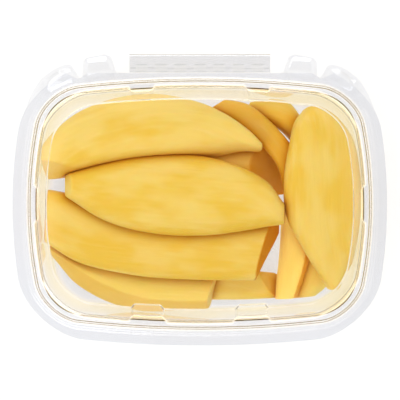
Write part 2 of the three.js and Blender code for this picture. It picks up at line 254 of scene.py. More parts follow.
def quarter(a, b, r, side_press, press, spread, lug):
    """A quarter of a ring, from the middle of the short side to the middle of the long side."""
    inner, outer = SIDE_LUG[0] * spread, SIDE_LUG[1] * spread
    v = spans([0.0, inner, outer, b - r], SIDE_STEPS)
    side = np.column_stack([a - side_press * pressed(v, SIDE_LUG, spread), v])
    angle = np.linspace(0.0, math.pi / 2, ARC_STEPS + 1)[1:-1]
    corner = np.column_stack([a - r + r * np.cos(angle), b - r + r * np.sin(angle)])
    inner, outer, place = lug[0] * spread, lug[1] * spread, lug[2]
    stops = [a - r, place + outer, place + inner, place - inner, place - outer, 0.0]
    u = spans(stops, BACK_STEPS)
    back = np.column_stack([u, b - press * pressed(u - place, lug, spread)])
    return np.vstack([side, corner, back])


def ring(x, y, r, z, front_press=0.0, side_press=0.0, hinge_press=0.0, spread=1.0):
    """A closed line round the pack at height z: a rounded rectangle with bowed sides and lugs."""
    a, b = x / (1 + BOW_X), y / (1 + BOW_Y)
    back = quarter(a, b, r, side_press, hinge_press, spread, HINGE_LUG)
    front = quarter(a, b, r, side_press, front_press, spread, FRONT_LUG)
    line = np.vstack([
        back[:-1], (back * (-1, 1))[::-1][:-1], (front * (-1, -1))[:-1], (front * (1, -1))[::-1][:-1],
    ])
    bowed_x = line[:, 0] * (1 + BOW_X * (1 - (line[:, 1] / b) ** 2))
    bowed_y = line[:, 1] * (1 + BOW_Y * (1 - (line[:, 0] / a) ** 2))
    return np.column_stack([bowed_x, bowed_y, np.full(len(line), z)])


def station(plan, inset, z, press=(0.0, 0.0, 0.0), spread=1.0, gleam=0.0):
    """One point of a sheet's section: a plan line moved in by inset, at height z. press is how deep
    the lugs at the front, the sides and the hinge are there; gleam is a painted highlight, emission for
    the light caught in a bend."""
    return np.array([plan[0] - inset, plan[1] - inset, plan[2] - inset, z, *press, spread, gleam])


def between(start, end, steps):
    """The stations that cut the straight run from one station to another into equal steps."""
    return [start + (end - start) * k / steps for k in range(1, steps)]


def turned(before, corner, after, radius, steps, axes):
    """The points of a corner rounded to a radius, which is measured in two of the axes."""
    arm_in, arm_out = before - corner, after - corner
    flat_in, flat_out = arm_in[axes], arm_out[axes]
    reach_in, reach_out = np.linalg.norm(flat_in), np.linalg.norm(flat_out)
    cosine = flat_in @ flat_out / (reach_in * reach_out)
    reach = radius / math.tan(math.acos(max(-1.0, min(1.0, cosine))) / 2)
    if reach < 1e-3:
        return [corner]
    start = corner + arm_in * min(reach / reach_in, CORNER_SHARE)
    end = corner + arm_out * min(reach / reach_out, CORNER_SHARE)
    return [
        (1 - t) ** 2 * start + 2 * t * (1 - t) * corner + t * t * end
        for t in np.linspace(0.0, 1.0, steps)
    ]


def rounded(stations, radii, steps=7):
    """A section with its corners rounded, each to its radius."""
    line = [stations[0]]
    for before, corner, after, radius in zip(stations, stations[1:], stations[2:], radii):
        line += turned(before, corner, after, radius, steps, [0, 3])
    return line + [stations[-1]]


def filleted(points, radii, steps=6):
    """A flat outline with its corners rounded, each to its radius."""
    corners = np.array(points, float)
    line = []
    for k, radius in enumerate(radii):
        after = corners[(k + 1) % len(corners)]
        line += turned(corners[k - 1], corners[k], after, radius, steps, [0, 1])
    return np.array(line)


def flat_border(inner, outline, creases, height):
    """Triangles of the flat sheet between the closed line `inner` and an outline. Each crease is a
    line (points, rise above the sheet, dullness), which is closed where it ends as it began.
    Returns the points after those of `inner`, their heights and dullness, and the triangles."""
    points = [Vector(p[:2]) for p in [*inner, *outline]]
    rise = [0.0] * len(points)
    dull = [0.0] * len(points)
    edges = [(i, (i + 1) % len(inner)) for i in range(len(inner))]
    border = list(range(len(inner), len(points)))
    for line, lift, dullness in creases:
        start = len(points)
        closed = np.linalg.norm(line[0] - line[-1]) < 1e-6
        count = len(line) - 1 if closed else len(line)
        points += [Vector(p) for p in line[:count]]
        rise += list(np.broadcast_to(lift, len(line))[:count])
        dull += [dullness] * count
        edges += [(start + i, start + (i + 1) % count) for i in range(len(line) - 1)]
    spots, _, triangles, origin, _, _ = delaunay_2d_cdt(points, edges, [border], 1, 1e-5)
    kept = {}
    fresh = []
    heights = []
    shades = []
    for k, spot in enumerate(spots):
        sources = origin[k]
        if sources and min(sources) < len(inner):
            kept[k] = min(sources)
            continue
        kept[k] = len(inner) + len(fresh)
        fresh.append(spot)
        heights.append(height + max((rise[s] for s in sources), default=0.0))
        shades.append(max((dull[s] for s in sources), default=0.0))
    faces = [[kept[v] for v in face] for face in triangles]
    faces = [face for face in faces if max(face) >= len(inner)]
    return fresh, heights, shades, faces


def marked(mesh, **values):
    """Attributes for the material, one value at each point of the mesh."""
    for name, value in values.items():
        mark = mesh.attributes.new(name, "FLOAT", "POINT")
        mark.data.foreach_set("value", np.asarray(value, np.float32))


def drawn_sheet(name, section, outline, creases):
    """A drawn sheet as a closed thin solid: rings from the middle of its floor or panel out to the
    flange, the flat border outside the last ring, and the sheet's thickness below all of it."""
    rings = [ring(*s[:-1]) for s in section]
    count = len(rings[0])
    inner = [rings[0] * (share, share, 1.0) for share in INNER_RINGS]
    points = [tuple(p) for p in np.vstack([(0.0, 0.0, section[0][3]), *inner, *rings])]
    faces = [(0, 1 + i, 1 + (i + 1) % count) for i in range(count)]
    levels = len(rings) + len(INNER_RINGS)
    for level in range(levels - 1):
        low = 1 + level * count
        for i in range(count):
            j = (i + 1) % count
            faces.append((low + i, low + count + i, low + count + j, low + j))
    base = 1 + (levels - 1) * count
    fresh, heights, shades, border = flat_border(rings[-1], outline, creases, section[-1][3])
    points += [(p.x, p.y, h) for p, h in zip(fresh, heights)]
    faces += [[base + v for v in face] for face in border]
    sheet = mesh_object(name, [(x * MM, y * MM, z * MM) for x, y, z in points], faces)
    drawn = len(points) - len(fresh)
    # painted highlight of each station's bend
    gleam = np.zeros(len(points))
    gleam[1 + len(INNER_RINGS) * count:drawn] = np.repeat([s[-1] for s in section], count)
    marked(sheet.data, gleam=gleam, dull=[0.0] * drawn + shades)
    thicken(sheet, SHEET, even=True)
    settle(sheet, SHARPEST_BEND)
    mark_walls(sheet.data, section[-1][3])
    return sheet


def vertex_array(mesh, field="co"):
    """The place of each point of a mesh, or its normal, as the rows of an array."""
    values = np.empty(len(mesh.vertices) * 3, np.float32)
    mesh.vertices.foreach_get(field, values)
    return values.reshape(-1, 3).astype(float)


def mark_walls(mesh, flange_height):
    """For the material: `wall` is 0 on level sheet and 1 on steep walls, and the steepest parts of
    the dome get the painted highlight that bends have."""
    level = np.abs(vertex_array(mesh, "normal")[:, 2])
    above = vertex_array(mesh)[:, 2] / MM - flange_height
    gleam = np.empty(len(mesh.vertices), np.float32)
    mesh.attributes["gleam"].data.foreach_get("value", gleam)
    steepest = np.clip((STEEPEST - level) / STEEPEST_FADE, 0.0, 1.0)
    steepest *= (gleam > 0) & (above > DOME_START)
    lit = np.maximum(gleam, steepest).astype(np.float32)
    mesh.attributes["gleam"].data.foreach_set("value", lit)
    steep = np.clip((1 - level) / (1 - WALL_LEAN), 0.0, 1.0)
    off_flange = np.abs(above) > 1.5 * SHEET
    marked(mesh, wall=steep * off_flange)


def thicken(piece, thickness, even=False):
    """Gives a piece its sheet's thickness, below the surface it has."""
    solidify = piece.modifiers.new("sheet", "SOLIDIFY")
    solidify.thickness = thickness * MM
    solidify.offset = -1.0
    solidify.use_even_offset = even


def apply_modifiers(piece):
    """Makes what a piece's modifiers show its mesh."""
    bpy.context.view_layer.update()
    graph = bpy.context.evaluated_depsgraph_get()
    made = bpy.data.meshes.new_from_object(piece.evaluated_get(graph))
    piece.modifiers.clear()
    old = piece.data
    piece.data = made
    bpy.data.meshes.remove(old)
    made.name = piece.name


def settle(piece, crease_angle):
    """Applies a piece's modifiers and shades it smooth but for edges sharper than crease_angle."""
    apply_modifiers(piece)
    for polygon in piece.data.polygons:
        polygon.use_smooth = True
    piece.data.set_sharp_from_angle(angle=math.radians(crease_angle))


def marks(tree, *names):
    """The outputs that read a mesh's attributes of these names."""
    return [joined(tree, "ShaderNodeAttribute", attribute_name=name).outputs["Fac"] for name in names]


def bumped(tree, surface, height, strength, distance):
    """Bumps a surface by a node's output."""
    bump = joined(tree, "ShaderNodeBump", {"Strength": strength, "Distance": distance}, {"Height": height})
    tree.links.new(bump.outputs["Normal"], surface.inputs["Normal"])


def clear_sheet_material(name, flat_tint, dull_tint):
    """Clear drawn plastic, warmer in its steep walls, where one looks through more of it, with a
    painted reflection of the fruit's yellow near the fruit, and duller where it is embossed; the tear
    strip's dull lines are painted shade. Tight bends get a painted highlight, emission for the light
    that runs along inside the sheet. Light from the lamps and scattered light pass straight through."""
    material, tree, surface = new_material(name, {
        "Roughness": 0.02,
        "IOR": 1.5,
        "Transmission Weight": 1.0,
        "Emission Strength": 1.0,
    })
    wall, juice, dull, gleam = marks(tree, "wall", "juice", "dull", "gleam")
    # painted reflection of the fruit's yellow in the sheet, strongest nearest the fruit
    tint = mixed(tree, flat_tint, mixed(tree, WALL_TINT, FRUIT_REFLECTION_TINT, juice), wall)
    tree.links.new(mixed(tree, tint, dull_tint, dull), surface.inputs["Base Color"])
    # painted highlight: bends glow by emission
    tree.links.new(mixed(tree, (0.0, 0.0, 0.0), PAINTED_BEND_GLEAM, gleam), surface.inputs["Emission Color"])
    place = joined(tree, "ShaderNodeTexCoord")
    wave = joined(
        tree, "ShaderNodeTexNoise", {"Scale": 60.0, "Detail": 1.0}, {"Vector": place.outputs["Object"]},
    )
    bumped(tree, surface, wave.outputs["Fac"], 0.02, 0.001)
    path = joined(tree, "ShaderNodeLightPath")
    open_way = joined(tree, "ShaderNodeBsdfTransparent", {"Color": (0.98, 0.98, 0.98, 1.0)})
    shader = surface.outputs["BSDF"]
    for ray in ("Is Diffuse Ray", "Is Shadow Ray"):
        ways = {"Fac": path.outputs[ray], 1: shader, 2: open_way.outputs["BSDF"]}
        shader = joined(tree, "ShaderNodeMixShader", links=ways).outputs["Shader"]
    tree.links.new(shader, tree.nodes["Material Output"].inputs["Surface"])
    return material


def mirrored(points):
    """An outline's points on the other side of the pack's middle plane."""
    return [(-x, y) for x, y in reversed(points)]


def flange_outline(back_points, back_radii):
    """The flange's outline: the rim line round the front and the sides, then listed points from
    the right back corner to the middle of the back, and the same on the left."""
    rim = ring(*RIM, 0.0)[:, :2]
    from_back = np.roll(rim, -(len(rim) // 4), axis=0)
    front = from_back[from_back[:, 1] < back_points[0][1] - 0.5]
    back = filleted(
        [tuple(front[-1]), *back_points, *mirrored(back_points), tuple(front[0])],
        [0.0, *back_radii, *back_radii[::-1], 0.0],
    )
    return np.vstack([front[1:-1], back])


CORNER_TAB = [
    (86.2, 45.0), (82.9, 53.4), (78.4, 60.9), (70.6, 67.0), (63.2, 68.9), (58.9, 61.7),
    (55.0, HINGE_EDGE),
]
CORNER_TAB_ROUND = [30.0, 30.0, 16.0, 20.0, 3.2, 1.0, 0.5]
CORNER_PANEL = [(63.2, 61.6), (62.4, 66.4), (69.6, 65.0), (76.9, 59.4), (74.6, 56.6)]
CORNER_PANEL_ROUND = [0.8, 2.0, 14.0, 1.0, 0.8]
CORNER_PANEL_DEPTH = 0.16
CORNER_PANEL_SHARE = 0.93  # the pressed-in part's size beside the whole panel's
CORNER_PANEL_DULL = 0.9
# painted highlight on the bead's bends
BEAD_GLEAM = 0.22
WALL_STEPS = 6


def tray():
    floor_edge = station(FLOOR, SHEET, SHEET)
    bead_edge = station(SEAL, BEAD_IN, BEAD_TOP)
    section = rounded(
        [
            station(FLOOR, FLOOR_ROUND + 6, SHEET), floor_edge,
            *between(floor_edge, bead_edge, WALL_STEPS),
            bead_edge, station(SEAL, BEAD_OUT, BEAD_TOP, gleam=BEAD_GLEAM),
            station(SEAL, BEAD_OUT - SEAL_DRAFT * 0.7, TRAY_FLANGE, gleam=BEAD_GLEAM),
            station(SEAL, BEAD_OUT - 2.2, TRAY_FLANGE),
        ],
        [FLOOR_ROUND, *[0.0] * (WALL_STEPS - 1), 0.9, 0.9, 0.5],
    )
    panel = filleted(CORNER_PANEL, CORNER_PANEL_ROUND)
    middle = panel.mean(axis=0)
    closed = np.vstack([panel, panel[:1]])
    inside = middle + (closed - middle) * CORNER_PANEL_SHARE
    creases = []
    for side in ((1, 1), (-1, 1)):
        for line, lift in ((closed, 0.0), (inside, -CORNER_PANEL_DEPTH)):
            creases.append((line * side, lift, CORNER_PANEL_DULL))
    outline = flange_outline(CORNER_TAB, CORNER_TAB_ROUND)
    piece = drawn_sheet("clear_tray", section, outline, creases)
    piece.data.materials.append(clear_sheet_material("clear tray sheet", FLAT_TINT, TAB_TINT))
    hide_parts("tray")
    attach(piece, BODY)
    return piece


TRAY = tray()

# ---- Mango slices ----
# Peeled mango, cut lengthwise off the stone into long curved slices: smooth moist yellow flesh
# with fine fibres along its length, shallow facets left by the peeler and knife-cut ends. The
# soft slices lie on each other and press their shape into those that they lie on.

# Edges run from a slice's first end to its second, [x, y, z] on its widest line, the left edge
# on the left hand. crown and belly are the flesh above and below that line. Each cut is three
# points of the knife's plane. The lower slices come first.
SLICES = {
    "slice_low_middle": dict(
        left=[(-60, 22, 9), (-26, 29, 9), (6, 30, 9), (45, 28, 9)],
        right=[(-60, 6, 9), (-26, 3, 9), (8, 2, 9), (45, 5, 9)],
        crown=17, belly=8, blunt=(0.6, 1), square=(2.6, 4),
        cuts=[((25, 30, 25), (26, 5, 25), (41, 15, 9))],
    ),
    "slice_low_front": dict(
        left=[(-34, -24, 6), (-10, -22, 6), (12, -27.5, 6), (28, -33, 6), (44, -33.4, 6)],
        right=[(-30, -44, 6), (-8, -47.2, 6), (14, -47.2, 6), (29, -46.8, 6), (44, -46, 6)],
        crown=6, belly=5, blunt=(0.6, 1), square=(3.2, 4),
        cuts=[((28.5, -33.4, 11.5), (36.6, -46.5, 11.5), (38.2, -32.9, 1))],
    ),
    "slice_low_back_right": dict(
        left=[(25, 50.4, 12), (35.4, 51.5, 14), (44.4, 49.5, 14), (52, 38, 11), (58, 15, 10)],
        right=[(24, 45, 12), (30, 41, 12), (37, 38, 12), (41.6, 34.6, 12), (46.6, 28.6, 11),
               (52, 13, 10)],
        crown=10, belly=8, blunt=(0.6, 0.6),
    ),
    "slice_low_right_front": dict(
        left=[(45.4, -46.4, 7), (46.6, -34, 7), (48, -18, 7), (50, 2, 7)],
        right=[(57, -45.4, 7), (63, -40, 7), (70, -22, 7), (69, 0, 7)],
        crown=8, belly=6, blunt=(0.6, 0.6),
    ),
    "slice_front_left": dict(
        left=[(-74, -19, 12), (-50, -28, 13), (-24, -33, 16), (8, -36, 17)],
        right=[(-73, -25, 10), (-60, -40, 9), (-34, -51.6, 10), (6, -52, 15)],
        crown=7, belly=7, blunt=(0.5, 0.9), ridge=(-0.5, 0.4),
        cuts=[((6, -38.2, 22), (2.6, -51.9, 20), (8, -38.4, 12))],
    ),
    "slice_right_narrow": dict(
        left=[(37.4, -46.8, 12), (39, -33, 12), (40.4, -16, 15), (41.2, 0, 17)],
        right=[(48.6, -45.6, 9), (53, -35, 9), (55.4, -24, 10), (53, 2, 14)],
        crown=9, belly=9, blunt=(0.7, 0.6), ridge=(0.2, 0.4),
    ),
    "slice_back_curved": dict(
        left=[(5, 46.4, 23), (20, 38, 23), (30.4, 28.4, 23), (38, 18.4, 24), (41, 6, 24)],
        right=[(13, 51.4, 22), (24.6, 48.4, 22), (37.4, 37.8, 23), (46, 27, 24), (52, 8, 24)],
        crown=6, belly=6, blunt=(0.6, 0.6), ridge=(-0.4, -0.6),
    ),
    "slice_front_wide": dict(
        left=[(-74.4, 7.4, 22), (-50, 3, 22), (-20, 0, 21.5), (10, -3, 22.5), (42, -8, 23)],
        right=[(-76, -18.6, 19), (-60, -28.4, 20), (-34, -34.8, 22), (0, -37.4, 24), (42, -37, 24)],
        crown=8, belly=10, blunt=(0.9, 1), square=(2.8, 2),
        cuts=[
            ((34.6, -11.1, 29), (27.5, -36.4, 29), (38.9, -14.8, 15.7)),
            ((38.9, -14.8, 15.7), (29.5, -33.2, 16.5), (27.6, -36, 29)),
        ],
    ),
    "slice_middle": dict(
        left=[(-66, 14, 28), (-50, 20, 28), (-24, 25, 29), (8, 22, 30), (32, 11.7, 32), (41.5, 0, 33)],
        right=[(-66, 4, 29), (-50, -6.6, 30), (-30, -13.4, 31), (4, -15.4, 32), (34, -11, 32.5),
              (41.5, -9.8, 33)],
        crown=11, belly=5, blunt=(0.8, 0.7), square=(2.5, 3),
        cuts=[((-63, 17, 36), (-64, 0, 36), (-66.4, 10, 28))],
    ),
    "slice_back_long": dict(
        left=[(-76, 29.4, 26.5), (-66, 39.4, 24), (-52, 47.6, 23), (-26, 52.8, 22), (2, 47.6, 24),
              (24, 35.2, 32), (30.4, 29.4, 33)],
        right=[(-76.8, 12.8, 30), (-60, 16.4, 34), (-46, 20.6, 36), (-20, 25, 38), (2, 27, 37),
              (18, 27.6, 34.5), (30.4, 26.4, 33.4)],
        crown=8, belly=20, blunt=(0.8, 0.4), square=(2.6, 2.2),
        cuts=[((-78, 22.3, 35.5), (-61, 17.6, 37.5), (-68, 12.7, 26))],
    ),
    "slice_right_wide": dict(
        left=[(63, -42, 27), (50, -21, 30), (42.4, -6, 32), (41.3, 12, 33), (43.6, 28, 33),
              (47.2, 41, 31.5), (51.4, 46.9, 30)],
        right=[(67.8, -41.6, 26), (75, -27, 27), (78.3, -6, 29.5), (78.3, 14, 29.5), (75, 31, 28.5),
              (67.6, 41.4, 28), (57, 47.5, 28)],
        crown=9, belly=14, blunt=(0.3, 0.4), taper=0.22,
    ),
}
TAPER = 0.3  # share of a slice's length over which each end gets thinner
SQUARE = (2.4, 3.2)  # how square crown and belly are in section; 2 is an ellipse
PLAY = 0.3  # air between slices that lie on each other
STATIONS = 90  # sections along a slice
SECTION = 26  # divisions over the crown, and again under the belly
RIDGE_SHARE = 0.55  # how much of a ridged crown is two flat faces; the rest is a dome
RIDGE_CAP = 1.12  # the faces reach full height a little before the ridge, which rounds it
KNIFE_REACH = 200
GRAIN_STEP = 0.62  # size of the fine mesh that the surface is worked in
# Soft swells, the peeler's facets and fibres: how high or deep they are, and how long, wide and
# thick. The surface takes on a share of all three.
SWELL_RISE = 0.30
SWELL_SIZE = (26, 12, 12)
FACET_DEPTH = 0.55
FACET_SIZE = (48, 7, 9)
FIBRE_RISE = 0.07
FIBRE_SIZE = (11, 1.7, 1.7)
WORK_SHARE = 0.8
DRIFT = (37.0, 11.0, 5.0)  # from one slice's swells, facets and fibres to the next one's
SPINE_POINTS = 160
BATCHES = 8
CUT_EDGE = 0.56  # a point this near a knife's plane still counts as cut
CUT_FADE = 0.35
FLANK_START = 0.05  # how far a normal leans to the right where the painted flank shade starts
FLANK_FADE = 0.2
ALL_SMOOTH = 180.0


def edge_point(points, t):
    """Points at t (0 to 1) of a smooth curve through given points, with even speed in bends."""
    knots = np.array(points, float)
    knots = np.vstack([2 * knots[0] - knots[1], knots, 2 * knots[-1] - knots[-2]])
    place = np.clip(t, 0.0, 1.0) * (len(points) - 1)
    piece = np.minimum(place.astype(int), len(points) - 2)
    w = (place - piece)[:, None]
    p0, p1, p2, p3 = (knots[piece + k] for k in range(4))
    steps = (p1 - p0, p2 - p1, p3 - p2)
    d0, d1, d2 = (np.sqrt(np.linalg.norm(step, axis=1))[:, None] for step in steps)
    lead = ((p1 - p0) / d0 - (p2 - p0) / (d0 + d1) + (p2 - p1) / d1) * d1
    trail = ((p2 - p1) / d1 - (p3 - p1) / (d1 + d2) + (p3 - p2) / d2) * d1
    return (p1 + lead * w + (3 * (p2 - p1) - 2 * lead - trail) * w ** 2
            + (2 * (p1 - p2) + lead + trail) * w ** 3)


def unit(vectors):
    return vectors / np.linalg.norm(vectors, axis=-1, keepdims=True)


def spine(form, t):
    """The middle line of a slice at t: its points, half widths and axes along, across and up."""
    left, right = edge_point(form["left"], t), edge_point(form["right"], t)
    step = 1e-4
    ahead = [edge_point(form[side], t + step) for side in ("left", "right")]
    behind = [edge_point(form[side], t - step) for side in ("left", "right")]
    along = unit(unit(ahead[0] - behind[0]) + unit(ahead[1] - behind[1]))
    across = right - left
    half = np.linalg.norm(across, axis=1) / 2
    across = unit(across)
    up = unit(np.cross(across, along))
    return (left + right) / 2, half, along, across, up


def taper(t, blunt, reach):
    """Thickness factor at t: 1 along the body, falling to `blunt` at each end."""
    ends = []
    for distance, end in zip((t, 1 - t), blunt):
        inwards = np.clip(distance / reach, 0, 1)
        ends.append(end + (1 - end) * np.sqrt(1 - (1 - inwards) ** 2))
    return np.minimum(*ends)


def crown_line(x, squareness, ridge):
    """Half a section from edge to edge: a dome, or a dome pressed towards two flat faces."""
    dome = (1 - np.abs(x) ** squareness) ** (1 / squareness)
    if ridge is None:
        return dome
    slope = np.where(x < ridge, (x + 1) / (ridge + 1), (1 - x) / (1 - ridge))
    return RIDGE_SHARE * np.minimum(1, slope * RIDGE_CAP) + (1 - RIDGE_SHARE) * dome


def slice_skin(name, form, swell):
    """A slice before its knife cuts, `swell` larger all round, as a closed mesh object."""
    t = 0.5 - 0.5 * np.cos(np.linspace(0, math.pi, STATIONS))
    middle, half, along, across, up = spine(form, t)
    middle[0] -= along[0] * swell
    middle[-1] += along[-1] * swell
    factor = taper(t, form["blunt"], form.get("taper", TAPER))
    square = form.get("square", SQUARE)
    ridge = form.get("ridge")
    angle = np.arange(2 * SECTION) / SECTION * math.pi
    x = np.clip(-np.cos(angle), -1, 1)
    top = np.arange(2 * SECTION) <= SECTION
    rings = []
    for k in range(STATIONS):
        ridge_at = None if ridge is None else ridge[0] + (ridge[1] - ridge[0]) * t[k]
        rise = np.where(
            top,
            crown_line(x, square[0], ridge_at) * (form["crown"] * factor[k] + swell),
            -crown_line(x, square[1], None) * (form["belly"] * factor[k] + swell),
        )
        rings.append(middle[k] + np.outer(x * (half[k] + swell), across[k]) + np.outer(rise, up[k]))
    count = 2 * SECTION
    points = np.vstack([rings[0].mean(0)] + rings + [rings[-1].mean(0)]) * MM
    last = len(points) - 1
    faces = []
    for i in range(count):
        j = (i + 1) % count
        faces.append((0, 1 + j, 1 + i))
        faces.append((last - count + i, last - count + j, last))
        for level in range(STATIONS - 1):
            low = 1 + level * count
            faces.append((low + i, low + j, low + count + j, low + count + i))
    return mesh_object(name, [tuple(p) for p in points], faces)


def knife_block(points, centre, swell):
    """A block beyond the plane through three points, on the side away from the slice's centre."""
    p, q, r = (Vector(v) * MM for v in points)
    normal = (q - p).cross(r - p).normalized()
    if normal.dot(centre - p) > 0:
        normal.negate()
    place = p + normal * (KNIFE_REACH / 2 + swell) * MM
    turn = Vector((0, 0, 1)).rotation_difference(normal).to_matrix()
    ends = (-KNIFE_REACH / 2 * MM, KNIFE_REACH / 2 * MM)
    corners = [place + turn @ Vector(corner) for corner in itertools.product(ends, repeat=3)]
    sides = [(0, 1, 3, 2), (4, 6, 7, 5), (0, 4, 5, 1), (2, 3, 7, 6), (0, 2, 6, 4), (1, 5, 7, 3)]
    return mesh_object("knife", corners, sides)


def take_away(body, tools):
    """Cuts each tool's shape out of a body."""
    for tool in tools:
        cut = body.modifiers.new("cut", "BOOLEAN")
        cut.operation = "DIFFERENCE"
        cut.solver = "MANIFOLD"
        cut.object = tool
    apply_modifiers(body)


def cut_slice(name, form, swell):
    """A slice with its knife cuts made."""
    body = slice_skin(name, form, swell)
    centre = sum((Vector(c) for c in body.bound_box), Vector()) / 8
    knives = [knife_block(points, centre, swell) for points in form.get("cuts", ())]
    if knives:
        take_away(body, knives)
    for knife in knives:
        bpy.data.objects.remove(knife)
    return body


def largest_piece(mesh):
    """Removes every loose bit of a mesh but the largest."""
    fresh = np.arange(len(mesh.vertices))
    parent = None
    edges = np.array([edge.vertices for edge in mesh.edges]).T
    while parent is None or (fresh != parent).any():
        parent = fresh
        fresh = parent.copy()
        for end in edges:
            np.minimum.at(fresh, end, parent[edges].min(axis=0))
        fresh = fresh[fresh]
    names, counts = np.unique(parent, return_counts=True)
    if len(names) == 1:
        return
    keep = parent == names[counts.argmax()]
    shape = bmesh.new()
    shape.from_mesh(mesh)
    shape.verts.ensure_lookup_table()
    loose = [shape.verts[i] for i in np.nonzero(~keep)[0]]
    bmesh.ops.delete(shape, geom=loose, context="VERTS")
    shape.to_mesh(mesh)
    shape.free()


def grain_of(form, points, normals):
    """For points in millimetres: the way along the slice, across it and up from its middle line;
    and how far each normal faces the slice's right-hand side."""
    t = np.linspace(0, 1, SPINE_POINTS)
    middle, _, along, across, up = spine(form, t)
    travel = np.concatenate([[0], np.cumsum(np.linalg.norm(np.diff(middle, axis=0), axis=1))])
    nearest = np.concatenate([
        ((part[:, None, :] - middle[None]) ** 2).sum(2).argmin(1)
        for part in np.array_split(points, BATCHES)
    ])
    offset = points - middle[nearest]
    grain = np.column_stack([
        travel[nearest] + (offset * along[nearest]).sum(1),
        (offset * across[nearest]).sum(1),
        (offset * up[nearest]).sum(1),
    ])
    return grain, (normals * across[nearest]).sum(1)


def cut_share(form, points):
    """1 on knife-cut faces and blunt ends, fading to 0 on the peeled surface."""
    share = np.zeros(len(points))
    middle, _, _, across, up = spine(form, np.array([0.0, 1.0]))
    planes = [(middle[k], np.cross(across[k], up[k])) for k in (0, 1)]
    for cut in form.get("cuts", ()):
        p, q, r = (np.array(v, float) for v in cut)
        planes.append((p, unit(np.cross(q - p, r - p))))
    for place, normal in planes:
        distance = np.abs((points - place) @ normal)
        share = np.maximum(share, np.clip((CUT_EDGE - distance) / CUT_FADE, 0, 1))
    return share


def worked_surface(piece, form, seed):
    """Peeler facets, soft swells and fibres in a slice's surface, and what its material reads."""
    mesh = piece.data
    points = vertex_array(mesh) / MM
    normals = vertex_array(mesh, "normal")
    grain, facing = grain_of(form, points, normals)
    cut = cut_share(form, points)
    places = grain + np.array(DRIFT) * seed
    swell, facet, fibre = (
        np.array([noise.noise(place) for place in (places / size).tolist()])
        for size in (SWELL_SIZE, FACET_SIZE, FIBRE_SIZE)
    )
    lift = SWELL_RISE * swell - FACET_DEPTH * np.abs(facet) * (1 - cut) + FIBRE_RISE * fibre
    moved = (points + normals * (lift - lift.mean())[:, None] * WORK_SHARE) * MM
    mesh.vertices.foreach_set("co", moved.astype(np.float32).ravel())
    way = mesh.attributes.new("grain", "FLOAT_VECTOR", "POINT")
    way.data.foreach_set("vector", grain.astype(np.float32).ravel())
    # which way each normal faces, for the painted shade on the right-hand flank
    marked(mesh, cut=cut, flank=np.clip((facing - FLANK_START) / FLANK_FADE, 0, 1))
    mesh.update()


def nearness(mesh, pieces, reach):
    """For each point of a mesh: 1 where it touches some pieces, falling to 0 at reach from them."""
    reach = reach * MM
    points = vertex_array(mesh)
    graph = bpy.context.evaluated_depsgraph_get()
    gap = np.full(len(points), reach)
    for piece in pieces:
        surface = BVHTree.FromObject(piece, graph)
        places = vertex_array(piece.data)
        low, high = places.min(0) - reach, places.max(0) + reach
        for i in np.nonzero(((points > low) & (points < high)).all(1))[0]:
            distance = surface.find_nearest(Vector(points[i]), gap[i])[3]
            if distance is not None:
                gap[i] = distance
    return 1 - gap / reach


def mark_contact(pieces):
    """For the material: `contact` is how near a slice is to any other, for the painted shade and glow in
    crevices.
    """
    for piece in pieces:
        others = [other for other in pieces if other is not piece]
        marked(piece.data, contact=nearness(piece.data, others, CREVICE))


def mark_juice(mesh):
    """For a sheet's material: `juice` is how near it is to the fruit, for the painted reflection of the
    fruit's yellow.
    """
    marked(mesh, juice=nearness(mesh, FRUIT, FRUIT_REFLECTION_REACH))


# Each streak's repeats per millimetre along, across and through a slice, and its detail.
STREAKS = {
    "Coarse": ((0.05, 0.62, 0.62), 3.0),
    "Fine": ((0.16, 2.4, 2.4), 2.0),
    "Patch": ((0.035, 0.075, 0.075), 2.0),
}


def fibre_group():
    """Streaks along a slice's length from its grain: coarse fibres, fine fibres and soft patches."""
    group = bpy.data.node_groups.new("fruit fibre", "ShaderNodeTree")
    sockets = group.interface
    sockets.new_socket("Grain", in_out="INPUT", socket_type="NodeSocketVector")
    sockets.new_socket("Seed", in_out="INPUT", socket_type="NodeSocketFloat")
    for name in STREAKS:
        sockets.new_socket(name, in_out="OUTPUT", socket_type="NodeSocketFloat")
    come = group.nodes.new("NodeGroupInput")
    leave = group.nodes.new("NodeGroupOutput")
    for name, (scale, detail) in STREAKS.items():
        stretch = joined(
            group, "ShaderNodeVectorMath", {1: scale}, {0: come.outputs["Grain"]}, operation="MULTIPLY",
        )
        noise_map = joined(
            group, "ShaderNodeTexNoise", {"Scale": 1.0, "Detail": detail, "Roughness": 0.55},
            {"Vector": stretch.outputs[0], "W": come.outputs["Seed"]}, noise_dimensions="4D",
        )
        group.links.new(noise_map.outputs["Fac"], leave.inputs[name])
    return group


FIBRE = fibre_group()
# Flesh colours: pale at the outside of the fruit, deeper towards the stone.
PALE = (0.92, 0.645, 0.15)
DEEP = (0.87, 0.555, 0.065)
FIBRE_PALE = (0.95, 0.74, 0.25)
GREENISH = (0.74, 0.56, 0.09)
# painted shade: deep orange for shaded slices, shaded cut faces and right-hand flanks
SHADED_FLESH = (0.70, 0.27, 0.010)
# painted shade: the deeper colour near other slices
CONTACT_SHADE = (0.82, 0.475, 0.02)
# painted shade: the dark colour in the crevices between slices
CREVICE_SHADE = (0.50, 0.165, 0.001)
CREVICE_PAINTED_GLOW = 0.12  # painted glow: share of its colour that a crevice gives off by emission
CREVICE_FALL = 3.3  # how quickly the painted crevice shade falls off
CREVICE = 7.0  # how far from a touching slice the painted crevice shade reaches
# reach of the painted reflection of the fruit's yellow in the sheet
FRUIT_REFLECTION_REACH = 18.0  # how far from the fruit the sheet still looks yellow


def maths(tree, operation, *terms):
    """What a maths node makes of its terms, each of them a number or a node's output."""
    values = {k: term for k, term in enumerate(terms) if isinstance(term, float)}
    links = {k: term for k, term in enumerate(terms) if not isinstance(term, float)}
    return joined(tree, "ShaderNodeMath", values, links, operation=operation).outputs["Value"]


